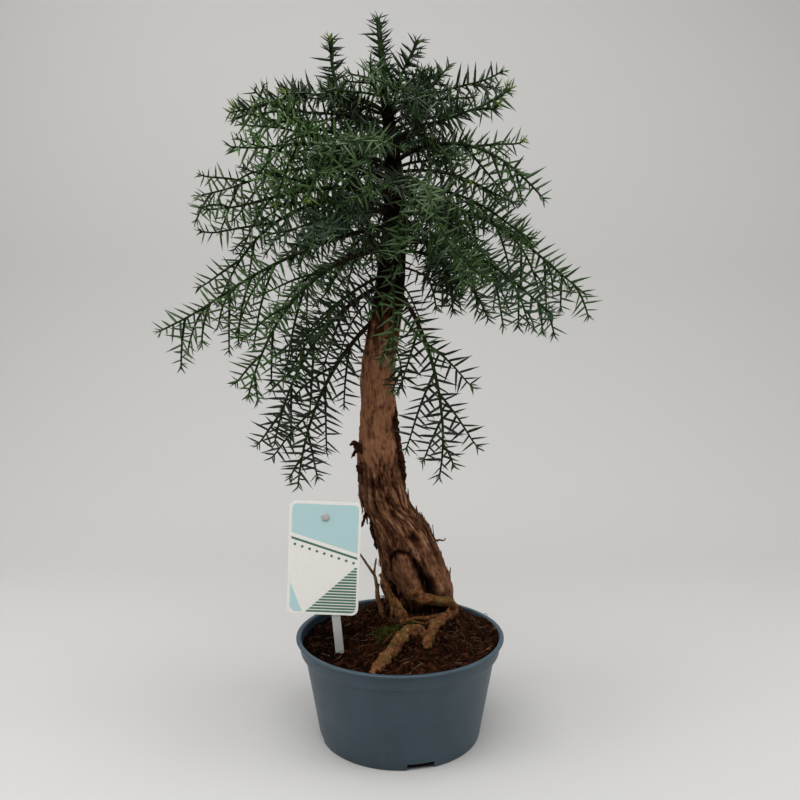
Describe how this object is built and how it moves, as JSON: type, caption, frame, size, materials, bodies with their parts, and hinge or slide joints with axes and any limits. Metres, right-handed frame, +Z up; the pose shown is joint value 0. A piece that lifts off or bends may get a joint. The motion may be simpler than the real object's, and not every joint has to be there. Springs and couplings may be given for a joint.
{
  "type": "araucaria bonsai in a nursery pot",
  "caption": "Araucaria bonsai: a leaning barked trunk with spreading and hanging boughs of stiff green needles, standing in a round plastic nursery pot with a plain plant label on a stick.",
  "frame": {"origin": "middle of the pot's flat underside", "axes": "+Z up along the pot's axis, -Y towards the viewer of the picture, +X to the viewer's right"},
  "size_m": [0.3921, 0.2994, 0.6397],
  "materials": {
    "pot_plastic": "moulded blue-grey polypropylene, satin",
    "peat": "damp dark brown peat with coir fibre, matt",
    "bark": "fibrous red-brown bark, matt",
    "dead_wood": "dry grey-brown twig, matt",
    "bough_bark": "young green-brown bark, matt",
    "needles": "waxy green needles, satin",
    "label_card": "printed plastic card, satin",
    "clear_stick": "clear moulded plastic, glossy"
  },
  "bodies": {
    "root": {"bough_back_left": "bough_bark", "bough_back_low": "bough_bark", "bough_back_right": "bough_bark", "bough_back_side": "bough_bark", "bough_left_arch": "bough_bark", "bough_left_drop": "bough_bark", "bough_left_far": "bough_bark", "bough_left_hang": "bough_bark", "bough_left_high": "bough_bark", "bough_left_low": "bough_bark", "bough_left_mid": "bough_bark", "bough_right_far": "bough_bark", "bough_right_hang": "bough_bark", "bough_right_mid": "bough_bark", "dead_twig": "dead_wood", "label_card": "label_card", "label_stick": "clear_stick", "pot": "pot_plastic", "soil": "peat", "spray_back_left": "needles", "spray_back_low": "needles", "spray_back_right": "needles", "spray_back_side": "needles", "spray_back_upper": "needles", "spray_crown_back": "needles", "spray_crown_front": "needles", "spray_crown_left": "needles", "spray_crown_right": "needles", "spray_front_hang": "needles", "spray_front_left": "needles", "spray_front_low": "needles", "spray_front_mid": "needles", "spray_front_right": "needles", "spray_leader": "needles", "spray_left_arch": "needles", "spray_left_drop": "needles", "spray_left_far": "needles", "spray_left_front_upper": "needles", "spray_left_hang": "needles", "spray_left_high": "needles", "spray_left_low": "needles", "spray_left_mid": "needles", "spray_left_top": "needles", "spray_left_upper": "needles", "spray_right_crest": "needles", "spray_right_far": "needles", "spray_right_hang": "needles", "spray_right_high": "needles", "spray_right_low": "needles", "spray_right_mid": "needles", "spray_right_spur": "needles", "spray_right_top": "needles", "spray_right_upper": "needles", "surface_root": "bark", "trunk": "bark"}
  },
  "joints": []
}
